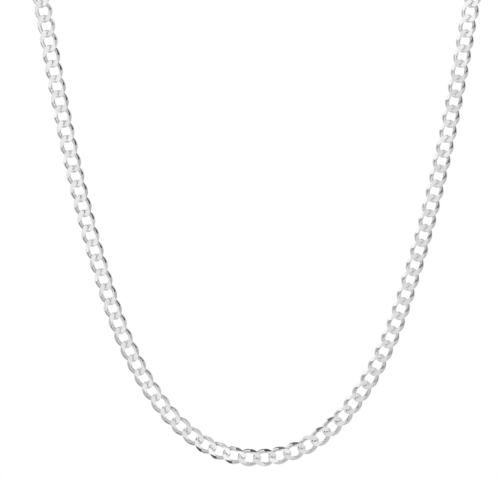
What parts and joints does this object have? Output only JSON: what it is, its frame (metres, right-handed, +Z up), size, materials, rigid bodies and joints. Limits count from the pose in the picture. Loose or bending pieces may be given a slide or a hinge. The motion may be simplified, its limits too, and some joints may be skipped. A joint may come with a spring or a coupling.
{
  "type": "curb chain necklace",
  "caption": "Flat diamond-cut curb chain worn as a whole loop, hanging in a deep front curve, closed by a plain box clasp at the nape.",
  "frame": {"origin": "middle of the neck opening, level with the height at which the front drop begins to lean back", "axes": "+X to the right as seen from the front, +Y from the front drop to the nape, +Z up"},
  "size_m": [0.128, 0.0442, 0.1683],
  "materials": {
    "chain_silver": "polished, diamond-cut faces",
    "clasp_silver": "polished"
  },
  "bodies": {
    "root": {"chain_left": "chain_silver", "chain_right": "chain_silver", "clasp": "clasp_silver"}
  },
  "joints": []
}
